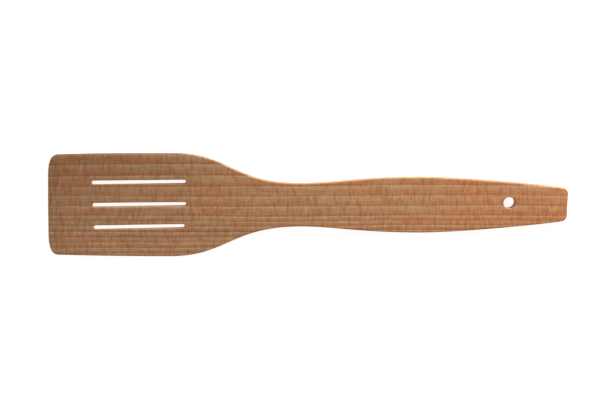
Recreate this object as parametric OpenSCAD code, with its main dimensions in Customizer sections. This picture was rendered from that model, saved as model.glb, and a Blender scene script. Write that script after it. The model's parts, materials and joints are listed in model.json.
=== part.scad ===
// Slotted wooden turner, sawn and sanded from one flat board of beech.
// The board lies on its back. +X runs from the blade to the handle's end, +Z is the face.

/* [Board] */
// Length from the front edge to the end of the handle
board_l = 300; // [290:1:320]
// Thickness of the handle
handle_t = 7; // [6:0.1:8]
// Thickness of the blade behind its bevelled front edge
blade_t = 3.4; // [3:0.1:4.5]
// Distance from the front edge at which the board reaches the handle's thickness
swell_l = 130; // [100:1:150]
// Radius of the sanded edges
edge_r = 0.7; // [0.4:0.1:1.2]

/* [Blade] */
// Greatest width of the blade
blade_w = 59.6; // [56:0.2:64]
// Width just behind the rounded front corners
front_w = 58.1; // [52:0.1:60]
// Distance from the front edge to the blade's widest place
blade_x = 70.8; // [60:0.2:75]
// How much further from the front edge the +Y shoulder starts than the -Y one
shoulder_offset = 2.9; // [0:0.1:4]
// Bow of the front edge, from its middle to the start of a corner
front_bow = 0.1; // [0:0.05:1]
// Length of a front corner along the board
corner_l = 6.2; // [4:0.1:8]
// Width of a front corner across the board
corner_w = 12.8; // [8:0.1:15]
// Length of the bevel behind the front edge
bevel_l = 4; // [2:0.1:6]
// Drop of the bevel at the front edge
bevel_drop = 1.5; // [0.5:0.1:1.8]

/* [Handle] */
// Width of the neck at its narrowest
neck_w = 24.8; // [20:0.1:28]
// Distance from the front edge to the narrowest place of the neck
neck_x = 145.4; // [140:0.1:152]
// Width of the grip at its widest
grip_w = 32.2; // [28:0.1:36]
// Distance from the front edge to the widest place of the grip
grip_x = 214; // [206:0.5:220]
// Width of the handle's end, where its corners start
tail_w = 20; // [17:0.1:24]
// Angle at which each side narrows at the handle's end
tail_angle = 6.7; // [4:0.1:9]
// Size of the end corner on the +Y side
tail_corner_left = 4.2; // [2:0.1:6]
// Size of the end corner on the -Y side
tail_corner_right = 4.5; // [2:0.1:6]
// Angle by which the handle's end is out of square
tail_skew = 1.6; // [0:0.1:4]

/* [Slots] */
// Width of each slot
slot_w = 2.4; // [2:0.1:4]
// Distance between the slots' centre lines
slot_pitch = 12.9; // [10:0.1:14]
// Distance of the middle slot from the board's centre line
slot_offset = 0.2; // [-1:0.1:1]
// Distances from the front edge to the starts of the slots, from the +Y side
slot_starts = [25.2, 25.6, 26.3]; // [20:0.1:35]
// Distances from the front edge to the ends of the slots, from the +Y side
slot_ends = [79.1, 79.3, 78.4]; // [70:0.1:84]
// Angles between the slots and the board's centre line, from the +Y side
slot_skews = [0.8, 0.8, 1.1]; // [0:0.1:1.5]
// Radius of the eased mouths of the slots
slot_edge_r = 0.5; // [0.3:0.1:0.8]

/* [Hanging hole] */
// Diameter of the hanging hole
hole_d = 6.7; // [5:0.1:9]
// Distance from the hole's centre to the end of the handle
hole_from_end = 34.3; // [20:0.1:45]
// Distance of the hole's centre from the board's centre line
hole_offset = 1.15; // [-2:0.05:2]
// Width of the chamfer round the hole on each face
hole_chamfer = 0.4; // [0.2:0.1:0.8]

/* [Hidden] */
beech = [0.70, 0.50, 0.35];

// Steps along each curve of the outline, along a slot's side and across a sanded edge
front_steps = 3;
corner_steps = 8;
side_steps = 8;
shoulder_steps = 26;
neck_steps = 16;
tail_steps = 18;
tail_corner_steps = 5;
end_steps = 2;
slot_side_steps = 8;
slot_end_steps = 4;
edge_steps = 4;

// Reach of the handles that shape the curves, as shares of the length between two widths
corner_pull = 0.69;
side_pull = [0.22, 0.62];
shoulder_pull = [0.44, 0.54];
neck_pull = [0.26, 0.49];
tail_pull = [0.25, 0.3];
round_pull = 0.72;

// The cutters stand out by this much past both faces of the board
cut_over = 1;
// Share of the local thickness that a sanded edge may take on each face
edge_share = 0.45;
// The end of the handle is out of square over this length
skew_l = 9;

// A cubic curve through its first and last points, without the last one
function bezier(p, steps) = [
    for (i = [0:steps - 1])
        let (t = i / steps, u = 1 - t)
        u * u * u * p[0] + 3 * u * u * t * p[1] + 3 * u * t * t * p[2] + t * t * t * p[3]
];

// A curve between two widths, level at both ends, whose handles reach the given shares of its length
function level_curve(a, b, pull, steps) =
    let (l = b.x - a.x)
    bezier([a, [a.x + pull[0] * l, a.y], [b.x - pull[1] * l, b.y], b], steps);

// Half of the front edge with its rounded corner
function front_half(start, end) = concat(
    bezier([[0, 0], [0, start.y / 3], [start.x, start.y * 2 / 3], start], front_steps),
    bezier([start, [start.x, start.y + corner_pull * corner_w],
            [end.x - corner_pull * corner_l, end.y], end], corner_steps)
);

// Half of the handle's end with a corner of the given size
function tail_half(start, r) =
    let (end = [board_l, start.y - r], pull = round_pull * r)
    concat(
        bezier([start, [start.x + pull, start.y - pull * tan(tail_angle)],
                [end.x, end.y + pull], end], tail_corner_steps),
        [for (i = [0:end_steps]) [board_l, end.y * (1 - i / end_steps)]]
    );

// The outline from the middle of the front edge to the middle of the handle's end, on one side
// side is 1 for the +Y side and -1 for the other, whose shoulder starts nearer to the front
function half_outline(side, tail_r) =
    let (corner_start = [front_bow, front_w / 2 - corner_w],
         corner_end = [corner_l, front_w / 2],
         blade = [blade_x + side * shoulder_offset / 2, blade_w / 2],
         neck = [neck_x, neck_w / 2],
         grip = [grip_x, grip_w / 2],
         tail = [board_l - tail_r, tail_w / 2],
         side_l = blade.x - corner_end.x,
         tail_l = tail.x - grip.x,
         tail_reach = tail_pull[1] * tail_l)
    concat(
        front_half(corner_start, corner_end),
        bezier([corner_end, [corner_end.x + side_pull[0] * side_l, corner_end.y + (blade.y - corner_end.y) / 2],
                [blade.x - side_pull[1] * side_l, blade.y], blade], side_steps),
        level_curve(blade, neck, shoulder_pull, shoulder_steps),
        level_curve(neck, grip, neck_pull, neck_steps),
        bezier([grip, [grip.x + tail_pull[0] * tail_l, grip.y],
                [tail.x - tail_reach, tail.y + tail_reach * tan(tail_angle)], tail], tail_steps),
        tail_half(tail, tail_r)
    );

// A closed loop from a left half, and a right half that is mirrored
function closed(left, right) = concat(left, [
    for (i = [len(right) - 2:-1:1]) [right[i].x, -right[i].y]
]);

// Moves a point of the outline into the frame, and leans the handle's end out of square
function placed(p) =
    let (lean = min(1, max(0, 1 + (p.x - board_l + tail_corner_right) / skew_l)),
         reach = tail_w / 2 - tail_corner_left)
    [p.x - board_l / 2 + (p.y - reach) * tan(tail_skew) * lean, p.y];

// Height of the face at a place along the board, with the bevel of the front edge
function face_z(x) =
    let (from_front = x + board_l / 2,
         s = min(1, max(0, from_front / swell_l)),
         bevel = max(0, 1 - from_front / bevel_l))
    blade_t + (handle_t - blade_t) * s * s * (3 - 2 * s) - bevel_drop * bevel * bevel;

// Outward normal of a closed loop at one of its points
function normal_at(loop, i) =
    let (n = len(loop), along = loop[(i + 1) % n] - loop[(i + n - 1) % n])
    [-along.y, along.x] / norm(along);

// One ring of a slab: the loop moved inwards, at a depth under the face or over the back
function ring(loop, inward, depth, r, from_face) = [
    for (i = [0:len(loop) - 1])
        let (scale_r = min(1, edge_share * face_z(loop[i].x) / r),
             p = loop[i] - inward * scale_r * normal_at(loop, i),
             d = depth * scale_r)
        [p.x, p.y, from_face ? face_z(p.x) - d : d]
];

// All rings of a slab between the back and the face, with round edges of radius r
// side is 1 for a solid, whose edges draw in, and -1 for a cutter, whose mouths widen
function slab_rings(loop, r, side, over) =
    let (angles = [for (j = [0:edge_steps]) 90 * j / edge_steps],
         back = [for (a = angles) ring(loop, side * r * (1 - sin(a)), r * (1 - cos(a)), r, false)],
         face = [for (j = [edge_steps:-1:0])
                     let (a = angles[j])
                     ring(loop, side * r * (1 - sin(a)), r * (1 - cos(a)), r, true)],
         lift = [0, 0, over])
    over == 0
        ? concat(back, face)
        : concat([[for (p = back[0]) p - lift]], back, face, [[for (p = face[edge_steps]) p + lift]]);

// A slab whose back lies at Z 0 and whose face follows the board's thickness
// The loop has the same number of points on both sides, so cross strips close the two faces
module slab(loop, r, side = 1, over = 0) {
    rings = slab_rings(loop, r, side, over);
    n = len(loop);
    half = n / 2;
    last = (len(rings) - 1) * n;
    walls = [
        for (j = [0:len(rings) - 2], k = [0:n - 1])
            let (a = j * n + k, b = j * n + (k + 1) % n)
            each [[b, b + n, a + n], [b, a + n, a]]
    ];
    strips = [
        for (k = [0:half - 1])
            let (a = k, b = k + 1, c = (n - k - 1) % n, d = (n - k) % n)
            each (k == 0 ? [[a, b, c]] : k == half - 1 ? [[a, b, d]] : [[a, b, c], [a, c, d]])
    ];
    face = [for (f = strips) [f[0] + last, f[1] + last, f[2] + last]];
    back = [for (f = strips) [f[2], f[1], f[0]]];
    polyhedron([for (r = rings) each r], concat(walls, face, back));
}

// Half of a slot's outline, from one round end to the other
function slot_half(l) =
    let (r = slot_w / 2, straight = l - slot_w, turn = 90 / slot_end_steps)
    concat(
        [for (i = [0:slot_end_steps - 1]) [-straight / 2 - r * cos(i * turn), r * sin(i * turn)]],
        [for (i = [0:slot_side_steps]) [straight * (i / slot_side_steps - 0.5), r]],
        [for (i = [slot_end_steps - 1:-1:0]) [straight / 2 + r * cos(i * turn), r * sin(i * turn)]]
    );

// The opening of one slot, turned a little and moved to its place in the blade
module slot(i) {
    l = slot_ends[i] - slot_starts[i];
    half = slot_half(l);
    middle = [(slot_ends[i] + slot_starts[i] - board_l) / 2, slot_offset + slot_pitch * (1 - i)];
    skew = slot_skews[i];
    turned = [
        for (p = closed(half, half))
            middle + [p.x * cos(skew) - p.y * sin(skew), p.x * sin(skew) + p.y * cos(skew)]
    ];
    slab(turned, slot_edge_r, side = -1, over = cut_over);
}

// The drilled hanging hole with a chamfer at each face
module hanging_hole() {
    r = hole_d / 2;
    cone_h = hole_chamfer + cut_over;
    translate([board_l / 2 - hole_from_end, hole_offset, 0]) {
        translate([0, 0, -cut_over]) cylinder(h = handle_t + 2 * cut_over, r = r, $fn = 64);
        translate([0, 0, -cut_over]) cylinder(h = cone_h, r1 = r + cone_h, r2 = r, $fn = 64);
        translate([0, 0, handle_t - hole_chamfer]) cylinder(h = cone_h, r1 = r, r2 = r + cone_h, $fn = 64);
    }
}

// The whole board: blade, shoulders, neck, grip and tail in one piece of wood
module spatula() {
    left = half_outline(1, tail_corner_left);
    right = half_outline(-1, tail_corner_right);
    color(beech)
        difference() {
            slab([for (p = closed(left, right)) placed(p)], edge_r);
            for (i = [0:len(slot_starts) - 1]) slot(i);
            hanging_hole();
        }
}

spatula();
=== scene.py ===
import json
import math

import bpy
from mathutils import Matrix, Vector


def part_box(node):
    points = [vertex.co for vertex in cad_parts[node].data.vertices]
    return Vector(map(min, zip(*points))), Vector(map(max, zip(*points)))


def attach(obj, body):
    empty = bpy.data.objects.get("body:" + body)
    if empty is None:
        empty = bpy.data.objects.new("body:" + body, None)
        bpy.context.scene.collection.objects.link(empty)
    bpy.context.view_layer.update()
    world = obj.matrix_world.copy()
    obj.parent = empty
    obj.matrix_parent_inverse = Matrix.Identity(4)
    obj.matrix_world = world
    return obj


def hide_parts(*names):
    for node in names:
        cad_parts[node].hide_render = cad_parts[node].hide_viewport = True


# A slotted wooden turner of beech, seen from above on a white light table.
# Lengths are metres. +X runs from the blade to the handle's end, +Y across, +Z out of the face.

MM = 0.001
PIECE_NODE = "spatula"
WOOD_SLOT = "beech"

# Sizes of the board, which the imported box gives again
BOARD_L = 300 * MM
BOARD_W = 59.6 * MM
HANDLE_T = 7 * MM

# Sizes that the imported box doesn't give
BLADE_T = 3.4 * MM
SWELL_L = 130 * MM
EDGE_R = 0.7 * MM
EDGE_SHARE = 0.45
BEVEL_L = 4 * MM
BEVEL_DROP = 1.5 * MM

# Outline of the board, as distances from the front edge and full widths
FRONT_W = 58.1 * MM
FRONT_BOW = 0.1 * MM
CORNER_L = 6.2 * MM
CORNER_W = 12.8 * MM
BLADE_X = 70.8 * MM
SHOULDER_OFFSET = 2.9 * MM
NECK_X = 145.4 * MM
NECK_W = 24.8 * MM
GRIP_X = 214 * MM
GRIP_W = 32.2 * MM
TAIL_W = 20 * MM
TAIL_ANGLE = math.radians(6.7)
TAIL_CORNER_LEFT = 4.2 * MM
TAIL_CORNER_RIGHT = 4.5 * MM
TAIL_SKEW = math.radians(1.6)
SKEW_L = 9 * MM

# Shares of a curve's length that its handles reach
CORNER_PULL = 0.69
SIDE_PULL = (0.22, 0.62)
SHOULDER_PULL = (0.44, 0.54)
NECK_PULL = (0.26, 0.49)
TAIL_PULL = (0.25, 0.3)
ROUND_PULL = 0.72

# Slots, from the +Y side
SLOT_W = 2.4 * MM
SLOT_PITCH = 12.9 * MM
SLOT_OFFSET = 0.2 * MM
SLOT_STARTS = (25.2 * MM, 25.6 * MM, 26.3 * MM)
SLOT_ENDS = (79.1 * MM, 79.3 * MM, 78.4 * MM)
SLOT_SKEWS = (math.radians(0.8), math.radians(0.8), math.radians(1.1))
SLOT_EDGE_R = 0.5 * MM
HOLE_EDGE_R = 0.4 * MM

# Fineness of the mesh
FRONT_STEPS = 16
CORNER_STEPS = 20
SIDE_STEPS = 50
SHOULDER_STEPS = 70
NECK_STEPS = 60
TAIL_STEPS = 70
TAIL_CORNER_STEPS = 12
END_STEPS = 8
SLOT_SIDE_STEPS = 44
SLOT_END_STEPS = 8
HOLE_STEPS = 72
EDGE_STEPS = 6
FACE_CELL = 2 * MM
CELL_CLEARANCE = 0.4
SUPPORT = 0.5
WELD = 0.004 * MM
PROBE = 1 * MM

# Counts of faces are compared with the halves between whole numbers
NO_FACE = 0.5
ONE_FACE = 1.5

# The attribute that says how worn an edge is
WEAR = "worn"

# Beech, in millimetres and linear colours. A ring goes from a pale line to its dark end
RING_STOPS = (
    (0.0, (0.485, 0.285, 0.148)),
    (0.12, (0.455, 0.245, 0.116)),
    (0.3, (0.418, 0.2, 0.085)),
    (0.75, (0.385, 0.156, 0.058)),
    (0.93, (0.345, 0.118, 0.04)),
    (1.0, (0.4, 0.175, 0.075)),
)
RING_MEAN = (0.412, 0.188, 0.078)
RING_STRENGTH = (0.75, 1.35)
RING_FADE = 0.65
FADE_REACH = (-150.0, -50.0)
RING_W = 6.0
NARROW_FROM = 8.0
RING_LEAN = 0.25
SWAY_REACH = 2.0

# Noises of the wood: length, width and height of a lump, fine detail, and seed
SWAY = ((150.0, 25.0, 25.0), 1.0, 3.0)
CLOUDS = ((45.0, 12.0, 12.0), 2.0, 5.0)
STREAKS = ((80.0, 1.8, 1.8), 2.0, 19.0)
FIBRES = ((14.0, 0.7, 0.7), 2.0, 7.0)
PORES = ((1.2, 0.12, 0.12), 0.0, 11.0)
DARK_RAYS = ((1.5, 6.0, 0.8), 1.0, 13.0)
PALE_RAYS = ((1.5, 5.0, 0.7), 1.0, 17.0)

# Spans of noise over which each of them comes in
NOISE_SPAN = (0.3, 0.7)
PORE_SPAN = (0.64, 0.7)
DARK_RAY_SPAN = (0.48, 0.66)
PALE_RAY_SPAN = (0.52, 0.68)

# Tints, which multiply the wood's colour
UNTINTED = (1.0, 1.0, 1.0)
CLOUD_LOW = (1.05, 0.96, 0.9)
CLOUD_HIGH = (0.96, 1.03, 1.08)
STREAK_LOW = (0.96, 0.87, 0.8)
STREAK_HIGH = (1.04, 1.13, 1.2)
FIBRE_LOW = (0.9, 0.87, 0.84)
FIBRE_HIGH = (1.1, 1.13, 1.16)
DARK_RAY_TINT = (0.87, 0.73, 0.62)
PALE_RAY_TINT = (1.1, 1.17, 1.25)
PORE_TINT = (0.85, 0.8, 0.76)
WORN_TINT = (1.08, 1.1, 1.12)
WASH_TINT = (1.04, 1.15, 1.22)
# Tints that make the blade darker towards +Y and paler towards -Y
PLUS_Y_TINT = (0.82, 0.77, 0.75)
MINUS_Y_TINT = (1.075, 1.1, 1.18)
# Painted shade: a tint that darkens the front of the blade, where less key light falls
PAINTED_FRONT_SHADE_TINT = (0.88, 0.91, 0.91)
# Front edge worn pale, and also painted lighter to cancel the shade on its bevel
WORN_AND_PAINTED_LIGHT_EDGE_TINT = (2.2, 2.3, 2.6)

# Where the tints of the blade lie along and across the board, in millimetres
WASH_REACH = (-60.0, 140.0)
BLADE_REACH = (-110.0, -20.0)
ACROSS_BLADE_REACH = 26.0
# Reach of the painted shade at the blade's front, and of the pale front edge with its painted light
PAINTED_FRONT_SHADE_REACH = 42.0
WORN_AND_PAINTED_LIGHT_EDGE_REACH = 4.2

# Gloss and fine relief of the sanded surface
ROUGHNESS = (0.44, 0.58)
RAY_SHINE = 0.06
WORN_SHINE = 0.05
RELIEF = 0.05 * MM
FIBRE_RELIEF = 0.5
RING_RELIEF = 0.3


def bezier(p, steps):
    """Points of a cubic curve, without its last one."""
    points = []
    for i in range(steps):
        t = i / steps
        u = 1 - t
        points.append(u ** 3 * p[0] + 3 * u * u * t * p[1] + 3 * u * t * t * p[2] + t ** 3 * p[3])
    return points


def level_curve(a, b, pull, steps):
    """A curve between two widths that is level at both ends."""
    length = b.x - a.x
    return bezier([a, Vector((a.x + pull[0] * length, a.y)), Vector((b.x - pull[1] * length, b.y)), b], steps)


def half_outline(size, side, tail_r):
    """One side of the outline, from the middle of the front edge to the middle of the handle's end."""
    board_l, blade_w = size
    start = Vector((FRONT_BOW, FRONT_W / 2 - CORNER_W))
    corner = Vector((CORNER_L, FRONT_W / 2))
    blade = Vector((BLADE_X + side * SHOULDER_OFFSET / 2, blade_w / 2))
    neck = Vector((NECK_X, NECK_W / 2))
    grip = Vector((GRIP_X, GRIP_W / 2))
    tail = Vector((board_l - tail_r, TAIL_W / 2))
    end = Vector((board_l, TAIL_W / 2 - tail_r))
    side_l = blade.x - corner.x
    tail_l = tail.x - grip.x
    tail_reach = TAIL_PULL[1] * tail_l
    slope = math.tan(TAIL_ANGLE)
    pull = ROUND_PULL * tail_r
    points = bezier([Vector((0, 0)), Vector((0, start.y / 3)), Vector((start.x, start.y * 2 / 3)), start],
                    FRONT_STEPS)
    points += bezier([start, start + Vector((0, CORNER_PULL * CORNER_W)),
                      corner - Vector((CORNER_PULL * CORNER_L, 0)), corner], CORNER_STEPS)
    points += bezier([corner, Vector((corner.x + SIDE_PULL[0] * side_l, (corner.y + blade.y) / 2)),
                      blade - Vector((SIDE_PULL[1] * side_l, 0)), blade], SIDE_STEPS)
    points += level_curve(blade, neck, SHOULDER_PULL, SHOULDER_STEPS)
    points += level_curve(neck, grip, NECK_PULL, NECK_STEPS)
    points += bezier([grip, grip + Vector((TAIL_PULL[0] * tail_l, 0)),
                      tail + Vector((-tail_reach, tail_reach * slope)), tail], TAIL_STEPS)
    points += bezier([tail, tail + Vector((pull, -pull * slope)), end + Vector((0, pull)), end],
                     TAIL_CORNER_STEPS)
    points += [Vector((board_l, end.y * (1 - i / END_STEPS))) for i in range(END_STEPS + 1)]
    return points


def closed(left, right):
    """A loop from a left half, and a right half that is mirrored."""
    return left + [Vector((p.x, -p.y)) for p in right[-2:0:-1]]


def placed(p, board_l):
    """A point of the outline in the frame, with the handle's end leaned out of square."""
    lean = min(1, max(0, 1 + (p.x - board_l + TAIL_CORNER_RIGHT) / SKEW_L))
    reach = TAIL_W / 2 - TAIL_CORNER_LEFT
    return Vector((p.x - board_l / 2 + (p.y - reach) * math.tan(TAIL_SKEW) * lean, p.y))


def board_loop(size):
    """The board's whole outline, clockwise seen from above."""
    left = half_outline(size, 1, TAIL_CORNER_LEFT)
    right = half_outline(size, -1, TAIL_CORNER_RIGHT)
    return [placed(p, size[0]) for p in closed(left, right)]


def slot_loop(index, board_l):
    """The outline of one slot, anticlockwise seen from above."""
    length = SLOT_ENDS[index] - SLOT_STARTS[index]
    straight = length - SLOT_W
    r = SLOT_W / 2
    turn = math.pi / 2 / SLOT_END_STEPS
    half = [Vector((-straight / 2 - r * math.cos(i * turn), r * math.sin(i * turn)))
            for i in range(SLOT_END_STEPS)]
    half += [Vector((straight * (i / SLOT_SIDE_STEPS - 0.5), r)) for i in range(SLOT_SIDE_STEPS + 1)]
    half += [Vector((straight / 2 + r * math.cos(i * turn), r * math.sin(i * turn)))
             for i in range(SLOT_END_STEPS - 1, -1, -1)]
    middle = Vector(((SLOT_ENDS[index] + SLOT_STARTS[index] - board_l) / 2,
                     SLOT_OFFSET + SLOT_PITCH * (1 - index)))
    cos, sin = math.cos(SLOT_SKEWS[index]), math.sin(SLOT_SKEWS[index])
    loop = [middle + Vector((p.x * cos - p.y * sin, p.x * sin + p.y * cos)) for p in closed(half, half)]
    return loop[::-1]


def hole_loop(mount):
    """The outline of the hanging hole, anticlockwise seen from above."""
    centre = Vector(mount["pos_m"][:2])
    r = mount["dims"]["r_mm"] * MM
    turn = 2 * math.pi / HOLE_STEPS
    return [centre + r * Vector((math.cos(i * turn), math.sin(i * turn))) for i in range(HOLE_STEPS)]


def outline_curve(loops):
    """A curve object with one closed line for each loop, whose radius is the radius of its sanded edge."""
    curve = bpy.data.curves.new("board_outlines", "CURVE")
    curve.dimensions = "3D"
    for loop, edge_r in loops:
        line = curve.splines.new("POLY")
        line.points.add(len(loop) - 1)
        line.use_cyclic_u = True
        for point, place in zip(line.points, loop):
            point.co = (place.x, place.y, 0, 1)
            point.radius = edge_r
    piece = bpy.data.objects.new("board_outlines", curve)
    bpy.context.scene.collection.objects.link(piece)
    return piece


class Tree:
    """A node tree under construction, with short calls for the nodes that the board needs."""

    def __init__(self, tree):
        self.tree = tree

    def node(self, kind, inputs=None, **settings):
        """A node with its settings made and its inputs linked or set, by name or by place."""
        node = self.tree.nodes.new(kind)
        for name, value in settings.items():
            setattr(node, name, value)
        for key, value in (inputs or {}).items():
            self.give(node.inputs[key], value)
        return node

    def give(self, socket, value):
        """Links a socket to another one, or sets it to a plain value."""
        if isinstance(value, bpy.types.NodeSocket):
            self.tree.links.new(value, socket)
        else:
            socket.default_value = value

    def math(self, operation, *values):
        """The output of a Math node."""
        return self.node("ShaderNodeMath", dict(enumerate(values)), operation=operation).outputs[0]

    def vector(self, operation, *values):
        """The output of a Vector Math node."""
        node = self.node("ShaderNodeVectorMath", dict(enumerate(values)), operation=operation)
        return node.outputs["Value" if operation in {"DOT_PRODUCT", "LENGTH"} else "Vector"]

    def scaled(self, vector, amount):
        """A vector times a number."""
        return self.node("ShaderNodeVectorMath", {0: vector, "Scale": amount}, operation="SCALE").outputs[0]

    def apart(self, vector):
        """The three parts of a vector."""
        return self.node("ShaderNodeSeparateXYZ", {0: vector}).outputs

    def together(self, x, y, z):
        """A vector from three numbers."""
        return self.node("ShaderNodeCombineXYZ", {0: x, 1: y, 2: z}).outputs[0]

    def ramp(self, value, low, high, to_low, to_high, curve="LINEAR"):
        """A value carried from one range into another, and held inside it."""
        return self.node("ShaderNodeMapRange", {"Value": value, "From Min": low, "From Max": high,
                                                "To Min": to_low, "To Max": to_high},
                         interpolation_type=curve).outputs[0]

    def compare(self, operation, a, b):
        """Whether two numbers stand in an order."""
        return self.node("FunctionNodeCompare", {0: a, 1: b}, data_type="FLOAT",
                         operation=operation).outputs[0]

    def logic(self, operation, *values):
        """The output of a Boolean Math node."""
        return self.node("FunctionNodeBooleanMath", dict(enumerate(values)), operation=operation).outputs[0]

    def choose(self, switch, off, on):
        """One of two numbers."""
        return self.node("GeometryNodeSwitch", {"Switch": switch, "False": off, "True": on},
                         input_type="FLOAT").outputs[0]

    def shape(self, kind, inputs, **settings):
        """The geometry that a node makes."""
        return self.node(kind, inputs, **settings).outputs[0]


BOARD_SIZES = {
    "Outlines": ("NodeSocketGeometry", None),
    "Board length": ("NodeSocketFloat", BOARD_L),
    "Board width": ("NodeSocketFloat", BOARD_W),
    "Handle thickness": ("NodeSocketFloat", HANDLE_T),
    "Blade thickness": ("NodeSocketFloat", BLADE_T),
    "Swell length": ("NodeSocketFloat", SWELL_L),
    "Bevel length": ("NodeSocketFloat", BEVEL_L),
    "Bevel drop": ("NodeSocketFloat", BEVEL_DROP),
    "Edge share": ("NodeSocketFloat", EDGE_SHARE),
    "Edge steps": ("NodeSocketInt", EDGE_STEPS),
    "Face cell": ("NodeSocketFloat", FACE_CELL),
    "Wood": ("NodeSocketMaterial", None),
}


def face_height(t, size, x):
    """Height of the face along the board: the swell from blade to handle, less the front bevel."""
    from_front = t.math("MULTIPLY_ADD", size["Board length"], 0.5, x)
    swell = t.ramp(from_front, 0, size["Swell length"], size["Blade thickness"], size["Handle thickness"],
                   "SMOOTHSTEP")
    bevel = t.ramp(from_front, 0, size["Bevel length"], 1, 0)
    drop = t.math("MULTIPLY", t.math("MULTIPLY", bevel, bevel), size["Bevel drop"])
    return t.math("SUBTRACT", swell, drop)


def sanded_radius(t, size, place, r):
    """Radius of an edge, held to a share of the thickness where the board is thin."""
    height = face_height(t, size, t.apart(place)[0])
    return t.math("MINIMUM", r, t.math("MULTIPLY", height, size["Edge share"]))


def drawn_in(t, place, outwards, amount):
    """A place on an outline moved into the wood."""
    return t.vector("SUBTRACT", place, t.scaled(outwards, amount))


def rim(t, size, outlines, place, outwards, radius):
    """The round edges and walls: a section carried along every outline, with the wear of its edges."""
    steps = size["Edge steps"]
    last = t.math("MULTIPLY_ADD", steps, 2, 3)
    section = t.shape("GeometryNodeCurvePrimitiveLine", {"Start": (0, 0, 0), "End": (0, 0, MM)})
    section = t.shape("GeometryNodeResampleCurve", {"Curve": section, "Count": t.math("ADD", last, 1)},
                      mode="COUNT")
    kept = t.tree.nodes.new("GeometryNodeCaptureAttribute")
    kept.capture_items.new("FLOAT", "Step")
    t.give(kept.inputs[0], section)
    t.give(kept.inputs[1], t.node("GeometryNodeInputIndex").outputs[0])
    section, step = kept.outputs[0], kept.outputs[1]
    band = t.shape("GeometryNodeCurveToMesh", {"Curve": outlines, "Profile Curve": section})
    on_face = t.compare("GREATER_THAN", step, t.math("MULTIPLY", last, 0.5))
    level = t.math("MINIMUM", step, t.math("SUBTRACT", last, step))
    angle = t.ramp(level, 1, t.math("ADD", steps, 1), 0, math.pi / 2)
    flat = t.ramp(level, 0, 1, SUPPORT, 0)
    inset = t.math("ADD", t.math("SUBTRACT", 1, t.math("SINE", angle)), flat)
    depth = t.math("SUBTRACT", 1, t.math("COSINE", angle))
    r = sanded_radius(t, size, place, radius)
    ground = drawn_in(t, place, outwards, t.math("MULTIPLY", inset, r))
    x, y, _ = t.apart(ground)
    low = t.math("MULTIPLY", depth, r)
    high = t.math("SUBTRACT", face_height(t, size, x), low)
    worn = t.math("SINE", t.math("MULTIPLY", angle, 2))
    band = t.shape("GeometryNodeStoreNamedAttribute", {"Geometry": band, "Name": WEAR, "Value": worn})
    return t.shape("GeometryNodeSetPosition",
                   {"Geometry": band, "Position": t.together(x, y, t.choose(on_face, low, high))})


def flat_face(t, size, outlines, place, outwards, radius):
    """The flat of the board inside its round edges: even cells, and triangles out to the edges."""
    r = sanded_radius(t, size, place, radius)
    inner = drawn_in(t, place, outwards, t.math("MULTIPLY", r, 1 + SUPPORT))
    border = t.shape("GeometryNodeSetPosition", {"Geometry": outlines, "Position": inner})
    border_line = t.shape("GeometryNodeCurveToMesh", {"Curve": border})
    area = t.shape("GeometryNodeFillCurve", {"Curve": border}, mode="TRIANGLES")
    cell = size["Face cell"]
    grid = t.shape("GeometryNodeMeshGrid", {
        "Size X": size["Board length"], "Size Y": size["Board width"],
        "Vertices X": t.math("DIVIDE", size["Board length"], cell),
        "Vertices Y": t.math("DIVIDE", size["Board width"], cell)})
    spot = t.node("GeometryNodeInputPosition").outputs[0]
    over = t.vector("ADD", spot, (0, 0, PROBE))
    inside = t.node("GeometryNodeRaycast", {
        "Target Geometry": area, "Source Position": over,
        "Ray Direction": (0, 0, -1), "Ray Length": 2 * PROBE}).outputs["Is Hit"]
    near = t.node("GeometryNodeProximity", {0: border_line}, target_element="EDGES").outputs["Distance"]
    clear = t.compare("GREATER_THAN", near, t.math("MULTIPLY", cell, CELL_CLEARANCE))
    outside = t.logic("NOT", t.logic("AND", inside, clear))
    cells = t.shape("GeometryNodeDeleteGeometry", {"Geometry": grid, "Selection": outside}, domain="POINT")
    edge_faces = t.node("GeometryNodeInputMeshEdgeNeighbors").outputs[0]
    loose = t.compare("LESS_THAN", edge_faces, NO_FACE)
    cells = t.shape("GeometryNodeDeleteGeometry", {"Geometry": cells, "Selection": loose}, domain="EDGE")
    point_faces = t.node("GeometryNodeInputMeshVertexNeighbors").outputs["Face Count"]
    loose = t.compare("LESS_THAN", point_faces, NO_FACE)
    cells = t.shape("GeometryNodeDeleteGeometry", {"Geometry": cells, "Selection": loose}, domain="POINT")
    open_side = t.compare("LESS_THAN", edge_faces, ONE_FACE)
    steps = t.shape("GeometryNodeMeshToCurve", {"Mesh": cells, "Selection": open_side})
    both = t.tree.nodes.new("GeometryNodeJoinGeometry")
    t.give(both.inputs[0], border)
    t.give(both.inputs[0], steps)
    gap = t.shape("GeometryNodeFillCurve", {"Curve": both.outputs[0]}, mode="TRIANGLES")
    whole = t.tree.nodes.new("GeometryNodeJoinGeometry")
    t.give(whole.inputs[0], gap)
    t.give(whole.inputs[0], cells)
    return whole.outputs[0]


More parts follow.
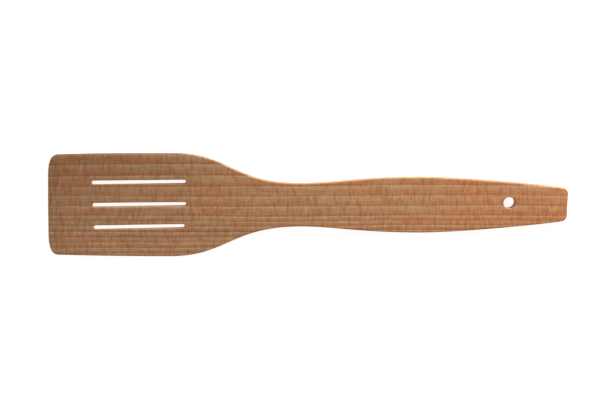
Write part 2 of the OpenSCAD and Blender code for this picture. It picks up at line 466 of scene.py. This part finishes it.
def board_tree():
    """The board as a node tree: edges carried along the outlines, and a face and a back between them."""
    group = bpy.data.node_groups.new("sawn_board", "GeometryNodeTree")
    for name, (kind, value) in BOARD_SIZES.items():
        socket = group.interface.new_socket(name, in_out="INPUT", socket_type=kind)
        if value is not None:
            socket.default_value = value
    group.interface.new_socket("Board", in_out="OUTPUT", socket_type="NodeSocketGeometry")
    t = Tree(group)
    size = group.nodes.new("NodeGroupInput").outputs
    place = t.node("GeometryNodeInputPosition").outputs[0]
    along = t.node("GeometryNodeInputTangent").outputs[0]
    outwards = t.vector("NORMALIZE", t.vector("CROSS_PRODUCT", (0, 0, 1), along))
    kept = group.nodes.new("GeometryNodeCaptureAttribute")
    for kind, name in (("VECTOR", "Place"), ("VECTOR", "Outwards"), ("FLOAT", "Radius")):
        kept.capture_items.new(kind, name)
    t.give(kept.inputs[0], size["Outlines"])
    t.give(kept.inputs[1], place)
    t.give(kept.inputs[2], outwards)
    t.give(kept.inputs[3], t.node("GeometryNodeInputRadius").outputs[0])
    outlines, place, outwards, radius = kept.outputs[:4]
    outlines = t.shape("GeometryNodeSetCurveRadius", {"Curve": outlines, "Radius": 1.0})
    edges = rim(t, size, outlines, place, outwards, radius)
    back = flat_face(t, size, outlines, place, outwards, radius)
    spot = t.node("GeometryNodeInputPosition").outputs[0]
    x, y, _ = t.apart(spot)
    face = t.shape("GeometryNodeSetPosition",
                   {"Geometry": back, "Position": t.together(x, y, face_height(t, size, x))})
    back = t.shape("GeometryNodeFlipFaces", {"Mesh": back})
    whole = group.nodes.new("GeometryNodeJoinGeometry")
    for shape in (back, face, edges):
        t.give(whole.inputs[0], shape)
    board = t.shape("GeometryNodeMergeByDistance", {"Geometry": whole.outputs[0], "Distance": WELD})
    board = t.shape("GeometryNodeSetShadeSmooth", {"Geometry": board, "Shade Smooth": True})
    board = t.shape("GeometryNodeRealizeInstances", {"Geometry": board})
    board = t.shape("GeometryNodeSetMaterial", {"Geometry": board, "Material": size["Wood"]})
    t.give(group.nodes.new("NodeGroupOutput").inputs[0], board)
    return group


def made_by(tree, values, source, name):
    """A plain mesh object from a node tree that works on a source object, which is then removed."""
    modifier = source.modifiers.new(name, "NODES")
    modifier.node_group = tree
    for socket in tree.interface.items_tree:
        if socket.in_out == "INPUT" and socket.name in values:
            modifier[socket.identifier] = values[socket.name]
    bpy.context.view_layer.update()
    depsgraph = bpy.context.evaluated_depsgraph_get()
    mesh = bpy.data.meshes.new_from_object(source.evaluated_get(depsgraph), depsgraph=depsgraph)
    mesh.name = name
    piece = bpy.data.objects.new(name, mesh)
    bpy.context.scene.collection.objects.link(piece)
    bpy.data.objects.remove(source)
    return piece


def noise(t, place, kind):
    """A noise whose lumps have their own length, width and height."""
    grain, detail, seed = kind
    spot = t.vector("ADD", t.vector("DIVIDE", place, grain), (seed, seed, seed))
    return t.node("ShaderNodeTexNoise", {"Vector": spot, "Scale": 1.0, "Detail": detail}).outputs[0]


def tinted(t, colour, mask, tint, start=UNTINTED):
    """A colour times a tint that comes in as a mask goes from 0 to 1."""
    step = [b - a for a, b in zip(start, tint)]
    return t.vector("MULTIPLY", colour, t.vector("MULTIPLY_ADD", mask, step, start))


def growth_rings(t, place):
    """How far each place lies through its growth ring, and the number of that ring."""
    _, y, z = t.apart(place)
    sway = t.ramp(noise(t, place, SWAY), 0, 1, -SWAY_REACH, SWAY_REACH)
    down = t.math("SUBTRACT", t.math("MULTIPLY_ADD", z, RING_LEAN, sway), y)
    past = t.math("SUBTRACT", down, NARROW_FROM)
    rings = t.math("DIVIDE", t.math("ADD", past, t.math("MAXIMUM", past, 0)), RING_W)
    return t.math("FRACT", rings), t.math("FLOOR", rings)


def ring_colour(t, place, share, number):
    """The wood's colour through a ring, each ring with its own strength, and fainter at the front."""
    node = t.node("ShaderNodeValToRGB", {0: share})
    stops = node.color_ramp.elements
    while len(stops) < len(RING_STOPS):
        stops.new(1)
    for stop, (position, colour) in zip(stops, RING_STOPS):
        stop.position = position
        stop.color = (*colour, 1)
    lot = t.node("ShaderNodeTexWhiteNoise", {"W": number}, noise_dimensions="1D").outputs["Value"]
    fade = t.ramp(t.apart(place)[0], *FADE_REACH, RING_FADE, 1)
    strength = t.math("MULTIPLY", t.ramp(lot, 0, 1, *RING_STRENGTH), fade)
    from_mean = t.vector("SUBTRACT", node.outputs[0], RING_MEAN)
    return t.vector("MULTIPLY_ADD", from_mean, strength, RING_MEAN)


def wash_wear_and_painted_light(t, colour, place):
    """Wood paler from washing towards the blade, darker towards +Y and paler towards -Y across the blade,
    with painted shade darkening the blade's front, and a front edge that is worn pale and also painted
    lighter to cancel the bevel's shade.
    """
    x, y, _ = t.apart(place)
    colour = tinted(t, colour, t.ramp(x, *WASH_REACH, 1, 0), WASH_TINT)
    blade = t.ramp(x, *BLADE_REACH, 1, 0)
    # The blade darker towards +Y and paler towards -Y
    for side, tint in ((1, PLUS_Y_TINT), (-1, MINUS_Y_TINT)):
        across = t.ramp(t.math("MULTIPLY", y, side), 0, ACROSS_BLADE_REACH, 0, 1)
        colour = tinted(t, colour, t.math("MULTIPLY", blade, across), tint)
    front = -BOARD_L / MM / 2
    # Painted shade: the front of the blade darkened, standing in for the key light's falloff
    colour = tinted(t, colour, t.ramp(x, front, front + PAINTED_FRONT_SHADE_REACH, 1, 0), PAINTED_FRONT_SHADE_TINT)
    # The front edge worn pale, and painted lighter to cancel the bevel's shade
    return tinted(t, colour, t.ramp(x, front, front + WORN_AND_PAINTED_LIGHT_EDGE_REACH, 1, 0), WORN_AND_PAINTED_LIGHT_EDGE_TINT)


def gloss(t, fibres, pale_rays, worn):
    """Roughness that varies with the fibres, lower on pale ray flecks and on worn edges."""
    rough = t.ramp(fibres, 0, 1, *ROUGHNESS)
    rough = t.math("SUBTRACT", rough, t.math("MULTIPLY", pale_rays, RAY_SHINE))
    return t.math("SUBTRACT", rough, t.math("MULTIPLY", worn, WORN_SHINE))


def relief(t, share, fibres, pores):
    """Fine relief: raised fibres, rings that rise to their dark end, and open pores."""
    height = t.math("MULTIPLY_ADD", fibres, FIBRE_RELIEF, t.math("MULTIPLY", share, RING_RELIEF))
    height = t.math("SUBTRACT", height, pores)
    return t.node("ShaderNodeBump", {"Height": height, "Distance": RELIEF, "Strength": 1.0}).outputs[0]


def beech():
    """Sanded beech: rings along the board, ray flecks across them, fibres, pores, wash and wear, and painted
    shade and light at the blade's front.
    """
    material = bpy.data.materials.new(WOOD_SLOT)
    material.use_nodes = True
    t = Tree(material.node_tree)
    shader = material.node_tree.nodes["Principled BSDF"].inputs
    place = t.scaled(t.node("ShaderNodeTexCoord").outputs["Object"], 1 / MM)
    worn = t.node("ShaderNodeAttribute", attribute_name=WEAR).outputs["Fac"]
    share, number = growth_rings(t, place)
    clouds = t.ramp(noise(t, place, CLOUDS), *NOISE_SPAN, 0, 1)
    streaks = t.ramp(noise(t, place, STREAKS), *NOISE_SPAN, 0, 1)
    fibres =t.ramp(noise(t, place, FIBRES), *NOISE_SPAN, 0, 1)
    pores = t.ramp(noise(t, place, PORES), *PORE_SPAN, 0, 1)
    dark_rays = t.ramp(noise(t, place, DARK_RAYS), *DARK_RAY_SPAN, 0, 1, "SMOOTHSTEP")
    pale_rays = t.ramp(noise(t, place, PALE_RAYS), *PALE_RAY_SPAN, 0, 1, "SMOOTHSTEP")
    colour = tinted(t, ring_colour(t, place, share, number), clouds, CLOUD_HIGH, CLOUD_LOW)
    colour = tinted(t, colour, streaks, STREAK_HIGH, STREAK_LOW)
    colour = tinted(t, colour, fibres, FIBRE_HIGH, FIBRE_LOW)
    colour = tinted(t, colour, dark_rays, DARK_RAY_TINT)
    colour = tinted(t, colour, pale_rays, PALE_RAY_TINT)
    colour = tinted(t, colour, pores, PORE_TINT)
    colour = tinted(t, colour, worn, WORN_TINT)
    t.give(shader["Base Color"], wash_wear_and_painted_light(t, colour, place))
    t.give(shader["Roughness"], gloss(t, fibres, pale_rays, worn))
    t.give(shader["Normal"], relief(t, share, fibres, pores))
    return material


def board(record):
    """The whole spatula, on the space of its CAD node."""
    low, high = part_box(PIECE_NODE)
    size = (high.x - low.x, high.y - low.y)
    mount = next(m for m in record["mounts"] if m["kind"] == "bore")
    loops = [(board_loop(size), EDGE_R), (hole_loop(mount), HOLE_EDGE_R)]
    loops += [(slot_loop(i, size[0]), SLOT_EDGE_R) for i in range(len(SLOT_STARTS))]
    sizes = {"Board length": size[0], "Board width": size[1], "Handle thickness": high.z - low.z,
             "Wood": beech()}
    return made_by(board_tree(), sizes, outline_curve(loops), "beech_board")


# The camera stands to the left of the picture's middle and beyond its upper edge
SENSOR_W = 36
CAMERA_DISTANCE = 1.418
LEAN_LEFT = math.radians(3.64)
LEAN_UP = math.radians(7.9)
CAMERA_ROLL = math.radians(-0.09)
AIM = Vector((-1.8, 0.13, 2.5)) * MM
FRAME_PX = 612
PIXEL = 0.57665 * MM
VIEW_REACH = 10.0


def camera():
    """The camera at the photograph's viewing angle, with the board level in the picture."""
    away = Vector((-math.sin(LEAN_LEFT), math.sin(LEAN_UP) * math.cos(LEAN_LEFT),
                   math.cos(LEAN_UP) * math.cos(LEAN_LEFT)))
    along = Vector((1, 0, 0))
    right = (along - away * along.dot(away)).normalized()
    up = away.cross(right)
    data = bpy.data.cameras.new("camera")
    data.sensor_width = SENSOR_W
    data.lens = SENSOR_W * CAMERA_DISTANCE / (FRAME_PX * PIXEL)
    data.clip_end = VIEW_REACH
    view = bpy.data.objects.new("camera", data)
    bpy.context.scene.collection.objects.link(view)
    turn = Matrix((right, up, away)).transposed() @ Matrix.Rotation(CAMERA_ROLL, 3, "Z")
    view.matrix_world = Matrix.Translation(AIM + away * CAMERA_DISTANCE) @ turn.to_4x4()
    bpy.context.scene.camera = view


# The key light as it stands round the board, the surround, and a white table that glows
KEY_TARGET = Vector((0.05, 0, 0))
KEY_AZIMUTH = math.radians(50)
KEY_ELEVATION = math.radians(30)
KEY_DISTANCE = 0.75
KEY_SIZE = 0.35
KEY_POWER = 11
KEY_COLOUR = (1, 0.97, 0.93)
SURROUND = 0.15
WHITE = (1, 1, 1, 1)
FLOOR_COLOUR = (0.92, 0.92, 0.92, 1)
FLOOR_ROUGHNESS = 0.9
FLOOR_GLOW = 0.85
FLOOR_SIZE = 6.0


def key_light():
    """A square soft light past the handle's end, on the +Y side."""
    level = math.cos(KEY_ELEVATION)
    away = Vector((level * math.cos(KEY_AZIMUTH), level * math.sin(KEY_AZIMUTH), math.sin(KEY_ELEVATION)))
    data = bpy.data.lights.new("key", "AREA")
    data.size = KEY_SIZE
    data.energy = KEY_POWER
    data.color = KEY_COLOUR
    light = bpy.data.objects.new("key", data)
    bpy.context.scene.collection.objects.link(light)
    light.location = KEY_TARGET + away * KEY_DISTANCE
    light.rotation_euler = away.to_track_quat("Z", "Y").to_euler()


def surround():
    """Even, dim light from all sides."""
    world = bpy.data.worlds.new("studio")
    bpy.context.scene.world = world
    world.use_nodes = True
    world.node_tree.nodes["Background"].inputs["Color"].default_value = WHITE
    world.node_tree.nodes["Background"].inputs["Strength"].default_value = SURROUND


def light_table():
    """The white table under the board, which glows enough to keep shadows off it."""
    mesh = bpy.data.meshes.new("floor")
    half = FLOOR_SIZE / 2
    mesh.from_pydata([(-half, -half, 0), (half, -half, 0), (half, half, 0), (-half, half, 0)], [],
                     [(0, 1, 2, 3)])
    floor = bpy.data.objects.new("floor", mesh)
    bpy.context.scene.collection.objects.link(floor)
    material = bpy.data.materials.new("light_table")
    material.use_nodes = True
    shader = material.node_tree.nodes["Principled BSDF"]
    shader.inputs["Base Color"].default_value = FLOOR_COLOUR
    shader.inputs["Roughness"].default_value = FLOOR_ROUGHNESS
    shader.inputs["Emission Color"].default_value = WHITE
    shader.inputs["Emission Strength"].default_value = FLOOR_GLOW
    mesh.materials.append(material)


def studio():
    """All that lights the board, with colours shown as they are."""
    key_light()
    surround()
    light_table()
    bpy.context.scene.view_settings.view_transform = "Standard"


with open("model.json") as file:
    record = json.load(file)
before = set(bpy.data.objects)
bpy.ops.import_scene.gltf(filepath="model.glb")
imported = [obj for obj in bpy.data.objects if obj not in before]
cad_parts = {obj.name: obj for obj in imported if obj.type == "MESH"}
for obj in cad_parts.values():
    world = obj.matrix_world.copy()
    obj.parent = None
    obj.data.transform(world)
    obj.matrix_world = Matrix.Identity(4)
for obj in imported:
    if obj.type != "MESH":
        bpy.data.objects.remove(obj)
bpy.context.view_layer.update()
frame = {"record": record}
camera()
studio()
spatula = board(frame["record"])
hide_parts(PIECE_NODE)
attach(spatula, "root")
